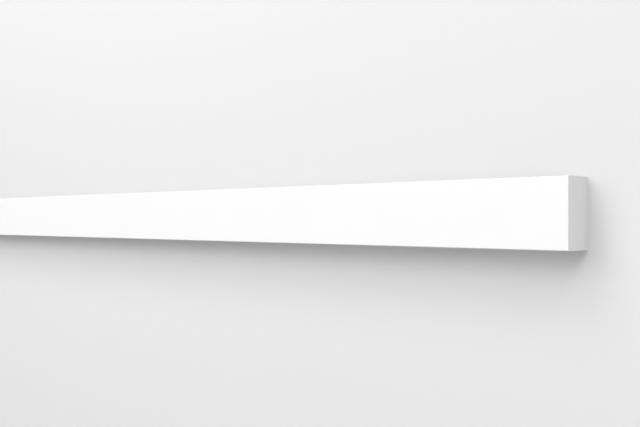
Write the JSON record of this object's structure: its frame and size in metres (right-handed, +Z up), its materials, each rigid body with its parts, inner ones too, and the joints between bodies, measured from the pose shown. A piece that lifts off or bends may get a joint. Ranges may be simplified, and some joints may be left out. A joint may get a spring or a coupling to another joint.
{
  "type": "flat moulding strip",
  "caption": "Straight white wall moulding strip of plain rectangular section, cut square at both ends, glued to a wall by its flat back.",
  "frame": {"origin": "middle of the strip's flat back, in the plane of the wall", "axes": "+X along the strip, to the right for someone facing the wall; +Y from the face into the wall; +Z up"},
  "size_m": [1, 0.025, 0.05],
  "materials": {
    "white_primed_polymer": "matt white factory primer over foamed polymer"
  },
  "bodies": {
    "root": {"moulding_strip": "white_primed_polymer"}
  },
  "joints": []
}
